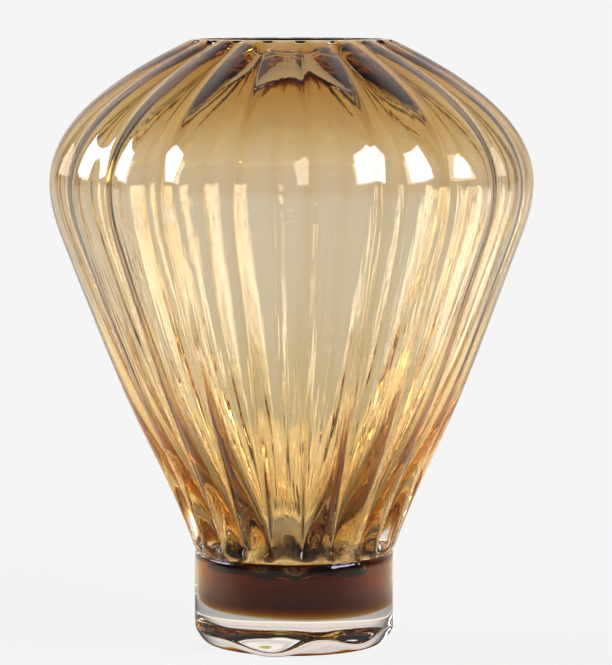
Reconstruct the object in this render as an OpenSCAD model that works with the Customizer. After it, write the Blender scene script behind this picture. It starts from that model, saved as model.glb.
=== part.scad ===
// Hand blown cased glass vase: a ribbed clear glass body with a thick clear foot,
// and an amber glass layer fused inside it. Both layers meet face to face.
// Origin: centre of the foot on the resting plane, +Z up. Millimetres.

/* [Size] */
// Height from the resting plane to the top of the lip
total_h = 250; // [180:1:320]
// Widest diameter over the rib crests
belly_d = 200; // [150:1:240]
// Height of the widest level, as a share of the total height
belly_level = 0.766; // [0.6:0.002:0.85]
// Outside diameter of the lip over the rib crests
lip_d = 85; // [60:1:120]

/* [Foot] */
// Diameter of the smooth round foot
foot_d = 82.6; // [60:0.2:110]
// Height of the foot up to where the ribs end
foot_h = 38; // [20:1:60]
// Rounding of the foot's lower edge
foot_edge_r = 7; // [1:0.5:12]
// Diameter of the shallow polished hollow under the foot
punt_d = 46; // [0:1:60]
// Depth of the hollow under the foot
punt_depth = 1.5; // [0.5:0.1:4]

/* [Ribs] */
// Number of vertical ribs around the body
rib_count = 20; // [8:1:32]
// Turn of the first rib crest from the front
rib_turn = -4.6; // [-9:0.1:9]
// Rib depth from crest to groove at the widest level
rib_belly = 2.4; // [0.4:0.1:3]
// Rib depth where the ribs run out above the foot
rib_toe = 3.8; // [0.5:0.1:5]
// Rib depth just below the lip
rib_lip = 2.6; // [0.4:0.1:4]
// Groove sharpness: small values give a narrow groove
groove_round = 0.35; // [0.1:0.05:1]
// Rib depth inside the hollow, as a share of the rib depth outside
rib_inside = 1.3; // [0:0.1:1.6]

/* [Glass] */
// Whole wall thickness at the widest level
wall_belly = 3.4; // [2:0.1:6]
// Whole wall thickness at the lip
wall_lip = 8.4; // [3:0.1:10]
// Whole wall thickness just above the foot
wall_toe = 14; // [6:0.5:18]
// Share of the wall that is amber at the widest level
amber_belly = 0.66; // [0.4:0.01:0.75]
// Share of the wall that is amber at the lip
amber_lip = 0.74; // [0.4:0.01:0.8]
// Share of the wall that is amber just above the foot
amber_toe = 0.36; // [0.2:0.01:0.6]
// Outside radius of the amber layer inside the foot
amber_foot_r = 27.6; // [18:0.1:34]
// Height of the underside of the amber layer inside the foot
amber_base = 13.4; // [10:0.1:24]
// Amber wall thickness inside the foot
amber_foot_wall = 2.6; // [1:0.1:5]
// Amber thickness under the hollow
amber_floor = 16.6; // [2:0.1:18]

/* [View] */
// Piece to draw

/* [Hidden] */
$fn = 120;
belly_r = belly_d / 2;
lip_r = lip_d / 2;
foot_r = foot_d / 2;
lip_z = total_h - 0.7;
belly_z = total_h * belly_level;
toe_z = foot_h + 8;
cone_z = toe_z + 0.44 * (belly_z - toe_z);
rise_z = toe_z + 0.852 * (belly_z - toe_z);
fall_z = belly_z + 0.406 * (lip_z - belly_z);
toe_r = foot_r + 2.7;
// Crest outline stations: height, radius, slope of radius against height
STATIONS = [
    [foot_h, foot_r - 1.4, 1.1],
    [toe_z, toe_r, 0.38],
    [cone_z, toe_r + 0.506 * (belly_r - toe_r), 0.402],
    [rise_z, toe_r + 0.917 * (belly_r - toe_r), 0.379],
    [belly_z, belly_r, 0],
    [fall_z, lip_r + 0.848 * (belly_r - lip_r), -0.76],
    [lip_z, lip_r, -2.08]
];
// Mesh columns to a rib, and heights on the outer, seam and hollow faces
AROUND = 6;
LEVELS = 22;
INNER = 17;
COUNT = rib_count * AROUND;

// Cubic curve between two stations at height z
function span(a, b, z) =
    let (h = b[0] - a[0], t = (z - a[0]) / h)
    a[1] * (2 * t * t * t - 3 * t * t + 1)
    + a[2] * h * (t * t * t - 2 * t * t + t)
    + b[1] * (3 * t * t - 2 * t * t * t)
    + b[2] * h * (t * t * t - t * t);

// Radius of the rib crests at height z
function crest(z, i = 0) =
    z <= STATIONS[i + 1][0] || i + 2 >= len(STATIONS)
    ? span(STATIONS[i], STATIONS[i + 1], z)
    : crest(z, i + 1);

function slope(z) = (crest(z + 0.05) - crest(z - 0.05)) / 0.1;

// Smooth step from 0 to 1 as x goes from a to b
function ease(x, a, b) =
    let (t = min(1, max(0, (x - a) / (b - a))))
    t * t * (3 - 2 * t);

// Rib depth at height z
function rib_depth(z) =
    (rib_belly
    + (rib_toe - rib_belly) * pow(1 - ease(z, toe_z, rise_z), 1.4)
    + (rib_lip - rib_belly) * ease(z, belly_z, lip_z))
    * ease(z, foot_h, toe_z)
    * (1 - 0.35 * ease(z, lip_z - 4, lip_z));

// Rib depth of the inner faces, which start and end smooth
function inner_depth(z) =
    rib_depth(max(z, toe_z))
    * ease(z, foot_h, toe_z + 8)
    * (1 - ease(z, lip_z - 8, lip_z - 1));

// Rib section: 0 on the crest, 1 in the groove
function groove(a) =
    let (c = cos(rib_count * (a - rib_turn) / 2))
    (sqrt(1 + groove_round * groove_round) - sqrt(c * c + groove_round * groove_round))
    / (sqrt(1 + groove_round * groove_round) - groove_round);

// Whole wall thickness, square to the surface, at height z
function wall(z) =
    z < belly_z
    ? wall_belly + (wall_toe - wall_belly) * pow((belly_z - z) / (belly_z - toe_z), 2.6)
    : wall_belly + (wall_lip - wall_belly) * pow((z - belly_z) / (lip_z - belly_z), 2.2);

// Share of the wall that is amber at height z
function share(z) =
    z < belly_z
    ? amber_belly + (amber_toe - amber_belly) * (belly_z - z) / (belly_z - toe_z)
    : amber_belly + (amber_lip - amber_belly) * (z - belly_z) / (lip_z - belly_z);

// Point at depth t under the crest outline at height z
function under(z, t) =
    let (m = slope(z), k = sqrt(1 + m * m))
    [crest(z) - t / k, z + t * m / k];

// Heights used for the inner layers, closer together near the lip
function inner_z(i, n) = toe_z + (lip_z - 1 - toe_z) * (1 - pow(1 - i / n, 1.4));

// Rounded corner points, centre [x, z], radius r, angles from a0 to a1
function arc(x, z, r, a0, a1, n) =
    [for (i = [0 : n]) let (a = a0 + (a1 - a0) * i / n) [x + r * cos(a), z + r * sin(a)]];

// Cubic curve on from point p to point q with end directions u and v
function blend(p, q, u, v, n) =
    [for (i = [1 : n])
        let (t = i / n)
        p * (2 * t * t * t - 3 * t * t + 1)
        + u * (t * t * t - 2 * t * t + t)
        + q * (3 * t * t - 2 * t * t * t)
        + v * (t * t * t - t * t)];

// Outer face of the amber layer above the foot, bottom to top
SEAM = [for (i = [0 : INNER])
    let (z = inner_z(i, INNER))
    under(z, wall(z) * (1 - share(z)))];
// Face of the hollow above the foot, bottom to top
HOLLOW = [for (i = [0 : INNER])
    let (z = inner_z(i, INNER))
    under(z, wall(z))];
seam_corner = 3.5;
hollow_corner = 8;
hollow_r = amber_foot_r - amber_foot_wall;
hollow_base = amber_base + amber_floor;
lip_in = HOLLOW[INNER][0] - 6.8;
lip_mid = [lip_r - 5, total_h];
// Where each inner face passes the top of the foot
seam_knee = [amber_foot_r + 1, foot_h];
hollow_knee = [hollow_r + 0.6, foot_h];

// Underside and wall of the amber layer inside the foot
SEAM_FOOT = concat(
    [[0, amber_base]],
    arc(amber_foot_r - seam_corner, amber_base + seam_corner, seam_corner, -90, 0, 6),
    blend([amber_foot_r, amber_base + seam_corner], seam_knee, [0, 18], [2.4, 9], 6)
);

// Rounded bottom of the hollow inside the foot
HOLLOW_FOOT = concat(
    [[0, hollow_base]],
    arc(hollow_r - hollow_corner, hollow_base + hollow_corner, hollow_corner, -90, -25, 8),
    blend([hollow_r - 0.094 * hollow_corner, hollow_base + 0.577 * hollow_corner],
        hollow_knee, [1.2, 2.6], [1.4, 3.4], 3)
);

// Outer face of the amber layer from the foot to the middle of the lip
SEAM_BODY = concat(
    blend(seam_knee, SEAM[0], [2.4, 9], [5, 10], 3),
    [for (i = [1 : INNER]) SEAM[i]],
    blend(SEAM[INNER], lip_mid, [-5, 2.4], [-1, 5], 3)
);

// Face of the hollow from the foot, over the rounded mouth, to the middle of the lip
HOLLOW_BODY = concat(
    blend(hollow_knee, HOLLOW[0], [3.4, 9], [5, 10], 3),
    [for (i = [1 : INNER]) HOLLOW[i]],
    blend(HOLLOW[INNER], [lip_in, total_h - 3.6], [-9, 3.2], [0, 4], 3),
    blend([lip_in, total_h - 3.6], lip_mid, [0, 5], [5, 0], 3)
);

// One ring of points at radius r and height z. The grooves are cut deep millimetres;
// lift is the share of that depth by which the crests stand proud of r.
function ring(r, z, deep = 0, lift = 0) =
    [for (j = [0 : COUNT - 1])
        let (a = 360 * j / COUNT + rib_turn, p = r - deep * (groove(a) - lift))
        [p * sin(a), -p * cos(a), z]];

// A ring just outside a circle of radius r, so that its flats clear the circle
function ring_about(p) = ring(p[0] / cos(180 / COUNT) + 0.02, p[1]);

OUTER_RINGS = [for (i = [0 : LEVELS])
    let (
        t = i / LEVELS,
        z = foot_h + (lip_z - foot_h) * (t < 0.12 ? t * 0.62 : 1 - 0.9256 * (1 - t) / 0.88)
    )
    ring(crest(z), z, rib_depth(z))];
SEAM_RINGS = [for (p = SEAM_BODY) ring(p[0], p[1], inner_depth(p[1]), 0.25)];
HOLLOW_RINGS = [for (p = HOLLOW_BODY) ring(p[0], p[1], inner_depth(p[1]) * rib_inside, 0.5)];

function reversed(list) = [for (i = [len(list) - 1 : -1 : 0]) list[i]];

// A closed shell of rings: up its outer face, over the top and down its inner face
module shell(rings) {
    rows = len(rings);
    polyhedron(
        points = [for (row = rings) for (p = row) p],
        faces = [for (i = [0 : rows - 1])
            for (j = [0 : COUNT - 1])
                let (n = (i + 1) % rows, k = (j + 1) % COUNT)
                [i * COUNT + j, n * COUNT + j, n * COUNT + k, i * COUNT + k]],
        convexity = 10
    );
}

// The smooth solid foot: resting ring, rounded lower edge and soft upper shoulder
module foot_solid() {
    rotate_extrude()
        polygon(concat(
            [[0, punt_depth], [punt_d / 2 - 4, punt_depth * 0.55], [punt_d / 2, 0]],
            arc(foot_r - foot_edge_r, foot_edge_r, foot_edge_r, -90, 0, 8),
            arc(foot_r - 1, foot_h - 1, 1, 0, 90, 4),
            [[0, foot_h]]
        ));
}

module clear_casing() {
    color([0.93, 0.94, 0.95, 0.35]) {
        difference() {
            foot_solid();
            rotate_extrude()
                polygon(concat(SEAM_FOOT, [[seam_knee[0], foot_h + 1], [0, foot_h + 1]]));
        }
        shell(concat(
            OUTER_RINGS,
            [ring(lip_r - 2, total_h - 0.15)],
            reversed(SEAM_RINGS),
            [ring_about(seam_knee)]
        ));
    }
}

module amber_lining() {
    color([0.8, 0.58, 0.28, 0.5]) {
        rotate_extrude()
            polygon(concat(SEAM_FOOT, reversed(HOLLOW_FOOT)));
        shell(concat(
            [ring_about(seam_knee)],
            SEAM_RINGS,
            reversed([for (i = [0 : len(HOLLOW_RINGS) - 2]) HOLLOW_RINGS[i]]),
            [ring_about(hollow_knee)]
        ));
    }
}

clear_casing();
amber_lining();
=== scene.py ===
"""Hand blown vase in two fused glasses: a ribbed clear casing with a thick clear foot, and an
amber lining inside it. Lengths in the shape are millimetres, and its meshes are made in metres."""

import math

import bpy
import numpy as np
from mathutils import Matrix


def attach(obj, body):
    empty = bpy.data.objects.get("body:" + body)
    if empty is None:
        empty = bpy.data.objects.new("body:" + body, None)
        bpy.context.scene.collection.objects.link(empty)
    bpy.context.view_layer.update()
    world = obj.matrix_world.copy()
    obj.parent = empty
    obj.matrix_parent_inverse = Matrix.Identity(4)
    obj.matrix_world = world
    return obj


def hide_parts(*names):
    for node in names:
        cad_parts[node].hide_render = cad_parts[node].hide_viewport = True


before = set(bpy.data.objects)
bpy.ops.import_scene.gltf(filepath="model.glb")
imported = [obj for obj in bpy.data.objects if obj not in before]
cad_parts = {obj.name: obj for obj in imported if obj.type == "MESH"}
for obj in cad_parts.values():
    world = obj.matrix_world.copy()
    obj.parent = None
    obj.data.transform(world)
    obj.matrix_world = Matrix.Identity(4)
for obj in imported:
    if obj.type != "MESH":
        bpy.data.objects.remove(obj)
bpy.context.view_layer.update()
MM = 0.001

# ---------------------------------------------------------------- sizes
TOTAL_H = 250.0
BELLY_R = 100.0
LIP_R = 42.5
FOOT_R = 41.3
FOOT_H = 38.0
FOOT_EDGE_R = 7.0
PUNT_R = 23.0            # the shallow polished hollow under the foot
PUNT_DEPTH = 1.5
RIBS = 20
RIB_TURN = math.radians(-4.6)
RIB_BELLY, RIB_TOE, RIB_LIP = 2.4, 3.8, 2.6
RIB_FADE = 1.4           # how fast the ribs lose depth above the toe
SOFT_TOE, SOFT_BELLY, SOFT_LIP = 0.10, 0.45, 0.30      # roundness of the grooves: 0 is sharp
SOFT_FROM, SOFT_TO = 90.0, 4.0       # the grooves soften from above the toe to just below the belly
SOFT_OVER = 10.0                     # and sharpen again from this far above the belly
WALL_BELLY, WALL_LIP, WALL_TOE = 3.4, 8.4, 14.0
WALL_LOW_POWER, WALL_HIGH_POWER = 2.6, 2.2   # how late the wall thickens towards the toe and the lip
RIB_INSIDE, SOFT_INSIDE = 1.3, 0.22  # the mould's ribs in the hollow: share of the outer depth, roundness
RIB_START, RIB_STOP = 8.0, 8.0       # the inner ribs start above the toe and stop below the lip
SHARE_BELLY, SHARE_LIP, SHARE_TOE = 0.66, 0.74, 0.36   # how much of the wall is amber
AMBER_FOOT_R = 27.6
AMBER_BASE = 13.4
AMBER_FOOT_WALL = 2.6
AMBER_FLOOR = 16.6
AMBER_EDGE = 3.5         # rounding of the amber's bottom edge
SEAM_TILT = 0.8          # the amber's bottom edge rises this much on the left and drops on the right
HOLLOW_EDGE = 8.0        # rounding of the hollow's bottom
SEAM_GAP = 0.10          # kept between the two fused layers so that their faces never coincide
LIP_DROP = 3.6           # height of the lip's rounding on its inner side

LIP_Z = TOTAL_H - 0.7
BELLY_Z = TOTAL_H * 0.766
TOE_Z = FOOT_H + 8.0
RISE_Z = TOE_Z + 0.852 * (BELLY_Z - TOE_Z)
TOE_R = FOOT_R + 2.7
# Height, radius of the crests and slope, from the foot's top to the lip
STATIONS = np.array([
    (FOOT_H, FOOT_R - 1.4, 1.1),
    (TOE_Z, TOE_R, 0.38),
    (TOE_Z + 0.44 * (BELLY_Z - TOE_Z), TOE_R + 0.506 * (BELLY_R - TOE_R), 0.402),
    (RISE_Z, TOE_R + 0.917 * (BELLY_R - TOE_R), 0.379),
    (BELLY_Z, BELLY_R, 0.0),
    (BELLY_Z + 0.406 * (LIP_Z - BELLY_Z), LIP_R + 0.848 * (BELLY_R - LIP_R), -0.76),
    (LIP_Z, LIP_R, -2.08),
])
AROUND = 20              # mesh columns to a rib
CROWD = 0.65             # how much the columns crowd towards the grooves
BODY_ROWS = (18, 62, 70)             # mesh rows of the toe, the cone and the shoulder
SEAM_ROWS, HOLLOW_ROWS = 100, 160


# ---------------------------------------------------------------- outline
def ease(x, a, b):
    """0 up to a, 1 from b on, and smooth between them."""
    t = np.clip((x - a) / (b - a), 0.0, 1.0)
    return t * t * (3.0 - 2.0 * t)


def crest(z):
    """Radius of the rib crests at height z."""
    z = np.asarray(z, float)
    i = np.clip(np.searchsorted(STATIONS[:, 0], z, side="right") - 1, 0, len(STATIONS) - 2)
    a, b = STATIONS[i], STATIONS[i + 1]
    h = b[..., 0] - a[..., 0]
    t = (z - a[..., 0]) / h
    return (a[..., 1] * (2 * t**3 - 3 * t**2 + 1) + a[..., 2] * h * (t**3 - 2 * t**2 + t)
            + b[..., 1] * (3 * t**2 - 2 * t**3) + b[..., 2] * h * (t**3 - t**2))


def slope(z):
    return (crest(z + 0.05) - crest(z - 0.05)) / 0.1


def rib_depth(z):
    deep = RIB_BELLY + (RIB_TOE - RIB_BELLY) * (1 - ease(z, TOE_Z, RISE_Z)) ** RIB_FADE
    deep = deep + (RIB_LIP - RIB_BELLY) * ease(z, BELLY_Z, LIP_Z)
    return deep * ease(z, FOOT_H, TOE_Z) * (1 - 0.35 * ease(z, LIP_Z - 4, LIP_Z))


def softness(z):
    low = SOFT_TOE + (SOFT_BELLY - SOFT_TOE) * ease(z, TOE_Z + SOFT_FROM, BELLY_Z - SOFT_TO)
    return low + (SOFT_LIP - SOFT_BELLY) * ease(z, BELLY_Z + SOFT_OVER, LIP_Z)


def reach(z):
    """How far z is below the belly towards the toe, and above it towards the lip, each from 0 to 1."""
    low = np.clip((BELLY_Z - z) / (BELLY_Z - TOE_Z), 0, None)
    high = np.clip((z - BELLY_Z) / (LIP_Z - BELLY_Z), 0, None)
    return low, high


def wall(z):
    """Thickness of both glasses together, measured from the crests."""
    low, high = reach(z)
    return np.where(z < BELLY_Z, WALL_BELLY + (WALL_TOE - WALL_BELLY) * low**WALL_LOW_POWER,
                    WALL_BELLY + (WALL_LIP - WALL_BELLY) * high**WALL_HIGH_POWER)


def share(z):
    """Share of the wall that is amber."""
    low, high = reach(z)
    return SHARE_BELLY + (SHARE_TOE - SHARE_BELLY) * low + (SHARE_LIP - SHARE_BELLY) * high


def under(z, t):
    """Points at depth t under the crest outline."""
    m = slope(z)
    k = np.sqrt(1 + m * m)
    return np.stack([crest(z) - t / k, z + t * m / k], -1)


def arc(x, z, r, a0, a1, n):
    a = np.radians(np.linspace(a0, a1, n + 1))
    return np.stack([x + r * np.cos(a), z + r * np.sin(a)], -1)


def blend(p, q, u, v, n):
    """A smooth curve from p, leaving along u, to q, arriving along v. It leaves p itself out."""
    t = np.linspace(0, 1, n + 1)[1:, None]
    p, q, u, v = (np.array(x, float) for x in (p, q, u, v))
    return (p * (2 * t**3 - 3 * t**2 + 1) + u * (t**3 - 2 * t**2 + t)
            + q * (3 * t**2 - 2 * t**3) + v * (t**3 - t**2))


def chain(*parts):
    return np.concatenate([np.atleast_2d(np.array(p, float)) for p in parts])


def spread(line, n):
    """The line again with n points at even steps along it."""
    step = np.r_[0, np.cumsum(np.hypot(*np.diff(line, axis=0).T))]
    at = np.linspace(0, step[-1], n)
    return np.stack([np.interp(at, step, line[:, 0]), np.interp(at, step, line[:, 1])], -1)


# ---------------------------------------------------------------- section lines, as radius and height
fine = TOE_Z + (LIP_Z - 1 - TOE_Z) * (1 - (1 - np.linspace(0, 1, 241)) ** 1.4)
SEAM = under(fine, wall(fine) * (1 - share(fine)))
HOLLOW = under(fine, wall(fine))
HOLLOW_R = AMBER_FOOT_R - AMBER_FOOT_WALL
HOLLOW_BASE = AMBER_BASE + AMBER_FLOOR
LIP_IN = HOLLOW[-1][0] - 6.8
LIP_MID = (LIP_R - 5.0, TOTAL_H)
LIP_LOW = (LIP_IN, TOTAL_H - LIP_DROP)
SEAM_SIDE = (AMBER_FOOT_R, AMBER_BASE + AMBER_EDGE)
SEAM_KNEE = (AMBER_FOOT_R + 1.0, FOOT_H)
HOLLOW_SIDE = (HOLLOW_R - 0.094 * HOLLOW_EDGE, HOLLOW_BASE + 0.577 * HOLLOW_EDGE)
HOLLOW_KNEE = (HOLLOW_R + 0.6, FOOT_H)

seam_line = spread(chain(
    arc(AMBER_FOOT_R - AMBER_EDGE, AMBER_BASE + AMBER_EDGE, AMBER_EDGE, -90, 0, 24),
    blend(SEAM_SIDE, SEAM_KNEE, (0, 18), (2.4, 9), 20),
    blend(SEAM_KNEE, SEAM[0], (2.4, 9), (5, 10), 20),
    SEAM[1:],
    blend(SEAM[-1], LIP_MID, (-5, 2.4), (-1, 5), 16)), SEAM_ROWS)
hollow_line = spread(chain(
    arc(HOLLOW_R - HOLLOW_EDGE, HOLLOW_BASE + HOLLOW_EDGE, HOLLOW_EDGE, -90, -25, 24),
    blend(HOLLOW_SIDE, HOLLOW_KNEE, (1.2, 2.6), (1.4, 3.4), 12),
    blend(HOLLOW_KNEE, HOLLOW[0], (3.4, 9), (5, 10), 20),
    HOLLOW[1:],
    blend(HOLLOW[-1], LIP_LOW, (-9, 3.2), (0, 4), 16),
    blend(LIP_LOW, LIP_MID, (0, 5), (5, 0), 16)), HOLLOW_ROWS)
foot_line = chain(
    [(PUNT_R - inwards, PUNT_DEPTH * deep) for inwards, deep in ((9, 0.9), (5, 0.66), (2, 0.25), (0, 0))],
    [(FOOT_R - FOOT_EDGE_R - 4, 0.0)],
    arc(FOOT_R - FOOT_EDGE_R, FOOT_EDGE_R, FOOT_EDGE_R, -90, 0, 16),
    [(FOOT_R, z) for z in np.linspace(FOOT_EDGE_R + 2, FOOT_H - 3, 12)],
    arc(FOOT_R - 1, FOOT_H - 1, 1, 20, 75, 4))
SHOULDER_Z = BELLY_Z - 30
body_z = np.concatenate([
    np.linspace(FOOT_H + 0.2, TOE_Z, BODY_ROWS[0]),
    np.linspace(TOE_Z, SHOULDER_Z, BODY_ROWS[1])[1:],
    np.linspace(SHOULDER_Z, LIP_Z, BODY_ROWS[2])[1:]])
lip_line = chain([(LIP_R - 1.0, LIP_Z + 0.42), (LIP_R - 2.4, LIP_Z + 0.64), LIP_MID])

# ---------------------------------------------------------------- the hand in it
CHANCE = np.random.RandomState(5)


def wander(count, size, first=1):
    """A smooth seeded function of angle that closes on itself, about size high."""
    waves = []
    for m in range(first, first + count):
        waves.append((m, CHANCE.uniform(0, 2 * math.pi), CHANCE.uniform(0.4, 1.0)))
    total = math.sqrt(sum(w[2] ** 2 for w in waves) / 2)
    return lambda a: size * sum(w[2] * np.sin(w[0] * a + w[1]) for w in waves) / total


rib_swing = wander(8, math.radians(0.45))    # ribs are not quite evenly spaced
rib_deep = wander(9, 0.13)                   # nor equally deep
foot_wave = wander(7, 0.22, 2)               # the foot was shaped by hand
edge_wave = wander(6, 0.9, 2)                # its bottom edge waves up and down
well_wave = wander(9, 0.9, 2)                # the hollow's bottom is uneven

LEAN, LEAN_BACK = -1.5, 0.5


def drift(z):
    """How far the body has leaned to the left of the foot's axis."""
    return LEAN * ease(z, FOOT_H, BELLY_Z) + LEAN_BACK * ease(z, BELLY_Z, TOTAL_H)


# ---------------------------------------------------------------- rings
COLUMNS = RIBS * AROUND
turn = np.arange(COLUMNS) / AROUND
PHASE = (turn + CROWD * np.sin(2 * math.pi * turn) / (2 * math.pi)) * 2 * math.pi / RIBS
ANGLE = PHASE + RIB_TURN + rib_swing(PHASE)


def groove(soft):
    """For each column of the mesh: 0 on a rib's crest, 1 in the groove between two ribs."""
    c = np.cos(RIBS * PHASE / 2)
    top = np.sqrt(1 + soft * soft)
    return (top - np.sqrt(c * c + soft * soft)) / (top - soft)


def ring(r, z):
    """One ring of points: r and z are numbers or one value a column."""
    r = np.broadcast_to(r, ANGLE.shape)
    z = np.broadcast_to(z, ANGLE.shape)
    return np.stack([r * np.sin(ANGLE) + drift(z), -r * np.cos(ANGLE), z], -1)


def body_ring(z):
    return ring(crest(z) - rib_depth(z) * (1 + rib_deep(ANGLE)) * groove(softness(z)), z)


def foot_ring(p):
    """A ring of the foot, waved a little as the tool left it."""
    r, z = p
    low = float(1 - ease(z, FOOT_EDGE_R, FOOT_H)) * float(ease(z, 0, 3))
    side = float(ease(r, FOOT_R - 4, FOOT_R)) * ease(z, 1, 12) * (1 - ease(z, FOOT_H - 8, FOOT_H))
    return ring(r + side * foot_wave(ANGLE), z + low * edge_wave(ANGLE + 0.02 * z))


def inner_depth(z):
    """Depth of the ribs on the seam, which ends smooth at the foot and at the lip."""
    ends = ease(z, FOOT_H, TOE_Z + RIB_START) * (1 - ease(z, LIP_Z - RIB_STOP, LIP_Z - 1))
    return rib_depth(max(z, TOE_Z)) * ends * (1 + rib_deep(ANGLE))


def seam_ring(p, gap=0.0):
    """A ring of the seam, which follows the ribs outside at an even depth."""
    r, z = p
    ribs = inner_depth(z) * (groove(softness(z)) - 0.25)
    tilt = SEAM_TILT * r / AMBER_FOOT_R * float(1 - ease(z, AMBER_BASE, FOOT_H))
    return ring(r - gap - ribs, z + gap - tilt * np.sin(ANGLE))


def hollow_ring(p):
    """A ring of the hollow, where the ribs of the mould show stronger."""
    r, z = p
    ribs = RIB_INSIDE * inner_depth(z) * (groove(SOFT_INSIDE) - 0.5)
    low = float(1 - ease(z, HOLLOW_BASE + 2, TOE_Z)) * float(ease(r, 4, 16))
    return ring(r - ribs + 0.5 * low * well_wave(ANGLE + 1), z + low * well_wave(ANGLE))


# ---------------------------------------------------------------- pieces
def lathe(name, rings, low_z, high_z):
    """A closed mesh from rings, with its ends closed on the axis at low_z and high_z. Its faces
    run ring by ring from the first, and then come the two ends."""
    verts = np.concatenate([np.concatenate(rings), [(0, 0, low_z), (0, 0, high_z)]]) * MM
    start = np.arange(len(rings) - 1)[:, None] * COLUMNS
    j = np.arange(COLUMNS)
    k = (j + 1) % COLUMNS
    quads = np.stack([start + j, start + k, start + COLUMNS + k, start + COLUMNS + j], -1)
    tip = len(rings) * COLUMNS
    last = tip - COLUMNS
    low = np.stack([np.full(COLUMNS, tip), k, j], -1)
    high = np.stack([np.full(COLUMNS, tip + 1), last + j, last + k], -1)
    loops = np.concatenate([quads.ravel(), low.ravel(), high.ravel()])
    sizes = np.repeat([4, 3], [quads.shape[0] * COLUMNS, 2 * COLUMNS])
    mesh = bpy.data.meshes.new(name)
    mesh.vertices.add(len(verts))
    mesh.vertices.foreach_set("co", verts.astype(np.float32).ravel())
    mesh.loops.add(len(loops))
    mesh.loops.foreach_set("vertex_index", loops.astype(np.int32))
    mesh.polygons.add(len(sizes))
    mesh.polygons.foreach_set("loop_start", (np.cumsum(sizes) - sizes).astype(np.int32))
    mesh.polygons.foreach_set("loop_total", sizes.astype(np.int32))
    mesh.polygons.foreach_set("use_smooth", np.ones(len(sizes), bool))
    mesh.update(calc_edges=True)
    mesh.validate()
    made = bpy.data.objects.new(name, mesh)
    bpy.context.scene.collection.objects.link(made)
    return made


def by_face(rows, low, high):
    """One value a face from one value a row of faces, with a value for each of the two ends."""
    return np.repeat([*rows, low, high], COLUMNS)


outside = [foot_ring(p) for p in foot_line]
outside += [body_ring(z) for z in body_z]
outside += [ring(r, z) for r, z in lip_line]
inside = [seam_ring(p) for p in seam_line[::-1][1:]]
casing = lathe("Clear_Casing", outside + inside, PUNT_DEPTH, AMBER_BASE)
casing_fused = by_face([0] * (len(outside) - 1) + [1] * len(inside), 0, 1)

outside = [seam_ring(p, SEAM_GAP) for p in seam_line[:-1]]
inside = [ring(LIP_MID[0], LIP_MID[1] - SEAM_GAP)]
inside += [hollow_ring(p) for p in hollow_line[::-1][1:]]
lining = lathe("Amber_Lining", outside + inside, AMBER_BASE + SEAM_GAP, HOLLOW_BASE)
lining_fused = by_face([1] * len(outside) + [0] * (len(inside) - 1), 1, 0)


# ---------------------------------------------------------------- shader nodes
def feed(tree, socket, value):
    """Set a socket to a number or a colour, or link it to another node's output."""
    if isinstance(value, bpy.types.NodeSocket):
        tree.links.new(value, socket)
    else:
        socket.default_value = value


def calc(tree, op, *terms):
    n = tree.nodes.new("ShaderNodeMath")
    n.operation = op
    for socket, term in zip(n.inputs, terms):
        feed(tree, socket, term)
    return n.outputs["Value"]


def times(tree, first, *others):
    for other in others:
        first = calc(tree, "MULTIPLY", first, other)
    return first


def length(tree, x, y):
    return calc(tree, "SQRT", calc(tree, "ADD", times(tree, x, x), times(tree, y, y)))


def step(tree, value, low, high, start=0.0, end=1.0):
    """From start, at or below low, to end, at or above high."""
    n = tree.nodes.new("ShaderNodeMapRange")
    n.interpolation_type = "SMOOTHSTEP"
    tree.links.new(value, n.inputs["Value"])
    for socket, number in (("From Min", low), ("From Max", high), ("To Min", start), ("To Max", end)):
        n.inputs[socket].default_value = number
    return n.outputs["Result"]


def between(tree, value, low, high, soft_low, soft_high):
    """1 from low to high, and 0 once soft_low below them or soft_high above them."""
    return times(tree, step(tree, value, low - soft_low, low),
                 step(tree, value, high, high + soft_high, 1.0, 0.0))


def vector(tree, op, *terms, out="Vector"):
    n = tree.nodes.new("ShaderNodeVectorMath")
    n.operation = op
    for socket, term in zip(n.inputs, terms):
        feed(tree, socket, term)
    return n.outputs[out]


def tint(tree, colour, amount):
    n = tree.nodes.new("ShaderNodeVectorMath")
    n.operation = "SCALE"
    feed(tree, n.inputs[0], colour)
    feed(tree, n.inputs["Scale"], amount)
    return n.outputs["Vector"]


def coordinates(tree, kind):
    """The texture coordinates of one kind, whole and split into x, y and z."""
    whole = tree.nodes.new("ShaderNodeTexCoord").outputs[kind]
    split = tree.nodes.new("ShaderNodeSeparateXYZ")
    tree.links.new(whole, split.inputs["Vector"])
    return whole, split.outputs


def noise(tree, place, scale, detail=1.0, distortion=0.0):
    n = tree.nodes.new("ShaderNodeTexNoise")
    tree.links.new(place, n.inputs["Vector"])
    n.inputs["Scale"].default_value = scale
    n.inputs["Detail"].default_value = detail
    n.inputs["Distortion"].default_value = distortion
    return n.outputs["Fac"]


def two_tone(tree, light, seen):
    """The colour seen where the camera looks straight at it, and light for every other ray."""
    path = tree.nodes.new("ShaderNodeLightPath")
    pick = tree.nodes.new("ShaderNodeMix")
    pick.data_type = "RGBA"
    tree.links.new(path.outputs["Is Camera Ray"], pick.inputs["Factor"])
    tree.links.new(light, pick.inputs["A"])
    pick.inputs["B"].default_value = (*seen, 1)
    return pick.outputs["Result"]


def material(name):
    made = bpy.data.materials.new(name)
    made.use_nodes = True
    return made, made.node_tree, made.node_tree.nodes["Principled BSDF"]


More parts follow.
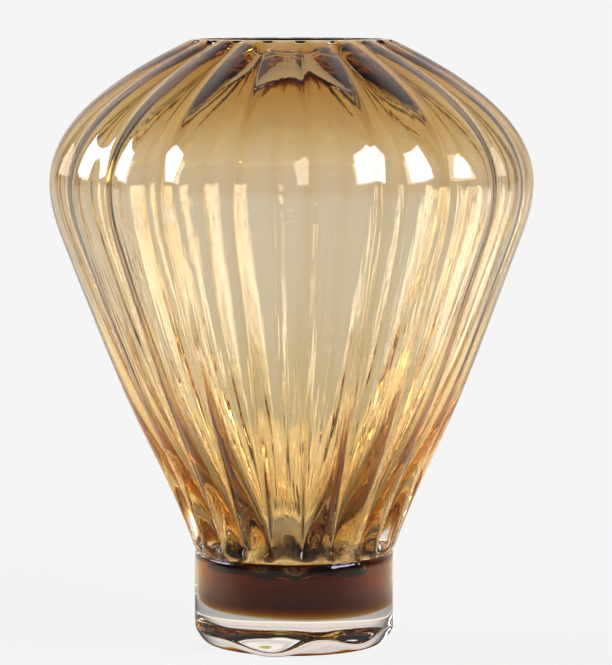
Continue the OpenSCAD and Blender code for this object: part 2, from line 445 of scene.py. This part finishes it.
# ---------------------------------------------------------------- glass
GLASS_IOR = 1.5
AMBER_MM = (0.060, 0.116, 0.258)     # absorption of red, green and blue in each millimetre of amber
DENSITY = 500.0                      # absorption in each metre is DENSITY * (1 - the volume's colour)
LINES_OUT, LINES_IN = 0.00010, 0.00030       # height in metres of the fine lines, outside and in the hollow
LINE_SCALE, LINE_STRETCH = 26.0, 0.45        # how fine they are, and how fast they change with height
BUNDLE_SCALE = 3.2
LINES_SHIFT = 7.3                            # sets the lines in the hollow apart from those outside


def glass(name, ior=GLASS_IOR):
    made, tree, shader = material(name)
    shader.inputs["Base Color"].default_value = (1, 1, 1, 1)
    shader.inputs["Transmission Weight"].default_value = 1.0
    shader.inputs["Roughness"].default_value = 0.0
    shader.inputs["IOR"].default_value = ior
    return made, tree, shader


def fine_lines(tree, shader, height, shift):
    """Fine wandering lines that run down the blown glass in bundles, and fade over the shoulder."""
    x, y, z = coordinates(tree, "Object")[1]
    r = calc(tree, "MAXIMUM", length(tree, x, y), 0.001)
    around = tree.nodes.new("ShaderNodeCombineXYZ")
    feed(tree, around.inputs["X"], calc(tree, "DIVIDE", x, r))
    feed(tree, around.inputs["Y"], calc(tree, "DIVIDE", y, r))
    feed(tree, around.inputs["Z"], calc(tree, "ADD", times(tree, z, LINE_STRETCH), shift))
    place = around.outputs["Vector"]
    lines = noise(tree, place, LINE_SCALE, 2.0, 0.25)
    bundles = step(tree, noise(tree, place, BUNDLE_SCALE), 0.42, 0.66, 0.15, 1.0)
    below_shoulder = step(tree, z, 0.165, 0.205, 1.0, 0.3)
    above_foot = step(tree, z, 0.020, 0.045, 0.1, 1.0)
    bump = tree.nodes.new("ShaderNodeBump")
    bump.inputs["Distance"].default_value = height
    bump.inputs["Strength"].default_value = 1.0
    feed(tree, bump.inputs["Height"], times(tree, lines, bundles, below_shoulder, above_foot))
    tree.links.new(bump.outputs["Normal"], shader.inputs["Normal"])


def clear_glass():
    made, tree, shader = glass("Clear_Glass")
    fine_lines(tree, shader, LINES_OUT, 0.0)
    return made


def clear_seam():
    """The casing's face on the seam. Light passes straight on into the amber fused to it."""
    return glass("Clear_Seam", 1.0)[0]


def amber_glass():
    """Light bends where the lining meets air, and passes straight through where it is fused."""
    made, tree, shader = glass("Amber_Glass")
    fine_lines(tree, shader, LINES_IN, LINES_SHIFT)
    volume = tree.nodes.new("ShaderNodeVolumeAbsorption")
    volume.inputs["Color"].default_value = (*(1 - a / MM / DENSITY for a in AMBER_MM), 1)
    volume.inputs["Density"].default_value = DENSITY
    tree.links.new(volume.outputs["Volume"], tree.nodes["Material Output"].inputs["Volume"])
    reads = tree.nodes.new("ShaderNodeAttribute")
    reads.attribute_name = "meets_air"
    bend = tree.nodes.new("ShaderNodeMapRange")
    bend.inputs["To Min"].default_value = 1.0
    bend.inputs["To Max"].default_value = GLASS_IOR
    tree.links.new(reads.outputs["Fac"], bend.inputs["Value"])
    tree.links.new(bend.outputs["Result"], shader.inputs["IOR"])
    return made


casing.data.materials.append(clear_glass())
casing.data.materials.append(clear_seam())
casing.data.polygons.foreach_set("material_index", casing_fused.astype(np.int32))
lining.data.materials.append(amber_glass())
meets_air = lining.data.attributes.new("meets_air", "FLOAT", "FACE")
meets_air.data.foreach_set("value", (1 - lining_fused).astype(np.float32))

for piece, node, slot in ((casing, "clear_casing", "clear_glass"), (lining, "amber_lining", "amber_glass")):
    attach(piece, "root")
    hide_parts(node)

# ---------------------------------------------------------------- floor
FLOOR_R = 400.0
TABLE_SEEN = (0.862, 0.859, 0.850)   # the plain pale tone that the camera sees
TABLE_FRONT_SHADE = 0.45                   # painted shade: what the vase shows of the table is dimmer on the camera's side
FRONT_FADE = 0.15                    # over this distance in front of the vase
TABLE_SHADE = (0.42, 0.39, 0.36)
# Painted light: a bright warm pool on the floor near the vase, brighter than the rest of the table
TABLE_NEAR_PAINTED_LIGHT = (1.15, 1.02, 0.82)
TABLE_FAR = (0.74, 0.70, 0.66)
TABLE_END = (0.74, 0.64, 0.55)
# Painted shadow: the floor that the vase shows is near black under the foot
SHADOW_UNDER_FOOT = (0.02, 0.02, 0.02)
# The tone that the vase shows of the table, by distance in metres from under it: a painted shadow under the
# foot, painted shade around it and a painted pool of warm light beyond
TABLE_LIGHT_AND_SHADE = ((0.040, SHADOW_UNDER_FOOT), (0.07, TABLE_SHADE), (0.11, TABLE_SHADE), (0.17, TABLE_NEAR_PAINTED_LIGHT),
         (0.35, TABLE_NEAR_PAINTED_LIGHT), (0.37, TABLE_FAR), (2.6, TABLE_FAR), (2.75, TABLE_END))
REACH = 4.0                          # distance at the end of the tone ramp


def pale_floor():
    made, tree, shader = material("Pale_Floor")
    shader.inputs["Base Color"].default_value = (0.04, 0.04, 0.04, 1)
    shader.inputs["Roughness"].default_value = 0.9
    shader.inputs["Specular IOR Level"].default_value = 0.0
    shader.inputs["Emission Strength"].default_value = 1.0
    place, axes = coordinates(tree, "Object")
    ramp = tree.nodes.new("ShaderNodeValToRGB")
    away = vector(tree, "LENGTH", place, out="Value")
    feed(tree, ramp.inputs["Fac"], calc(tree, "DIVIDE", away, REACH))
    stops = ramp.color_ramp.elements
    stops[0].position, stops[1].position = TABLE_LIGHT_AND_SHADE[0][0] / REACH, TABLE_LIGHT_AND_SHADE[-1][0] / REACH
    stops[0].color, stops[1].color = (*TABLE_LIGHT_AND_SHADE[0][1], 1), (*TABLE_LIGHT_AND_SHADE[-1][1], 1)
    for distance, tone in TABLE_LIGHT_AND_SHADE[1:-1]:
        stops.new(distance / REACH).color = (*tone, 1)
    # The painted shadow, shade and light of the table, dimmed by painted shade on the camera's side, for
    # every ray but the camera's
    table = tint(tree, ramp.outputs["Color"], step(tree, axes["Y"], -FRONT_FADE, 0.0, TABLE_FRONT_SHADE, 1.0))
    feed(tree, shader.inputs["Emission Color"], two_tone(tree, table, TABLE_SEEN))
    return made


bpy.ops.mesh.primitive_circle_add(vertices=128, radius=FLOOR_R, fill_type="NGON")
floor = bpy.context.object
floor.name = "Floor"
floor.data.materials.append(pale_floor())

# ---------------------------------------------------------------- light
# Angles are in degrees: azimuth 0 is towards the camera and grows to the right
LEFT_BOX = (-116, -84, 9, 36)        # azimuth from and to, elevation from and to
RIGHT_BOX = (44, 83, 12, 45)
BOX_EDGE = 0.8
BOX_COLOUR = (12.0, 13.0, 16.5)
BACK_HALF, BACK_HALF_SOFT = 48.0, 14.0       # half the width of the backdrop behind the vase
BACK_TOP, BACK_TOP_SOFT = 55.0, 15.0
BACK_LOW, BACK_HIGH = (0.74, 0.64, 0.55), (0.88, 0.83, 0.75)
BACK_SPLIT = (16, 24)                # the backdrop turns from its low to its high tone
BACK_DIM = (-0.12, -0.09, -0.03)     # a slightly dimmer, cooler band low on the backdrop
DIM_BAND = (9, 15)
ROOM = (0.10, 0.10, 0.10)
ROOM_SEEN = (0.913, 0.913, 0.913)    # what the camera itself sees of the room, beyond the floor

scene = bpy.context.scene
world = bpy.data.worlds.new("Studio")
scene.world = world
world.use_nodes = True
tree = world.node_tree
tree.nodes.clear()
dx, dy, dz = coordinates(tree, "Generated")[1]
elevation = times(tree, calc(tree, "ARCTAN2", dz, length(tree, dx, dy)), 180 / math.pi)
azimuth = times(tree, calc(tree, "ARCTAN2", dx, times(tree, dy, -1.0)), 180 / math.pi)
behind = calc(tree, "SUBTRACT", 180.0, calc(tree, "ABSOLUTE", azimuth))


def soft_box(az0, az1, el0, el1):
    return times(tree, between(tree, azimuth, az0, az1, BOX_EDGE, BOX_EDGE),
                 between(tree, elevation, el0, el1, BOX_EDGE, BOX_EDGE))


back = times(tree, step(tree, behind, BACK_HALF - BACK_HALF_SOFT, BACK_HALF + BACK_HALF_SOFT, 1.0, 0.0),
             step(tree, elevation, BACK_TOP - BACK_TOP_SOFT, BACK_TOP + BACK_TOP_SOFT, 1.0, 0.0))
terms = [
    tint(tree, BACK_HIGH, times(tree, back, step(tree, elevation, *BACK_SPLIT))),
    tint(tree, BACK_LOW, times(tree, back, step(tree, elevation, *BACK_SPLIT, 1.0, 0.0))),
    tint(tree, BACK_DIM, times(tree, back, between(tree, elevation, *DIM_BAND, 2.0, 3.0))),
    tint(tree, BOX_COLOUR, calc(tree, "ADD", soft_box(*LEFT_BOX), soft_box(*RIGHT_BOX))),
]
light = ROOM
for term in terms:
    light = vector(tree, "ADD", light, term)
background = tree.nodes.new("ShaderNodeBackground")
out = tree.nodes.new("ShaderNodeOutputWorld")
tree.links.new(two_tone(tree, light, ROOM_SEEN), background.inputs["Color"])
tree.links.new(background.outputs["Background"], out.inputs["Surface"])

# ---------------------------------------------------------------- camera
CAM_D, CAM_H, CAM_X = 1.428, 0.2724, 0.0049
CAM_DOWN = math.radians(5.736)
SENSOR, LENS = 36.0, 187.8
BOUNCES = 40             # light crosses many faces of glass on its way to the camera

camera = bpy.data.objects.new("Camera", bpy.data.cameras.new("Camera"))
scene.collection.objects.link(camera)
camera.location = (CAM_X, -CAM_D, CAM_H)
camera.rotation_euler = (math.pi / 2 - CAM_DOWN, 0, 0)
camera.data.sensor_width = SENSOR
camera.data.lens = LENS
camera.data.clip_start = 0.05
camera.data.clip_end = 1000.0
scene.camera = camera

scene.view_settings.view_transform = "Standard"
scene.cycles.max_bounces = BOUNCES
scene.cycles.transmission_bounces = BOUNCES
scene.cycles.transparent_max_bounces = BOUNCES
scene.cycles.glossy_bounces = 12
scene.cycles.diffuse_bounces = 3
scene.cycles.caustics_reflective = True
scene.cycles.caustics_refractive = True
scene.cycles.blur_glossy = 0.0
scene.cycles.sample_clamp_indirect = 8.0
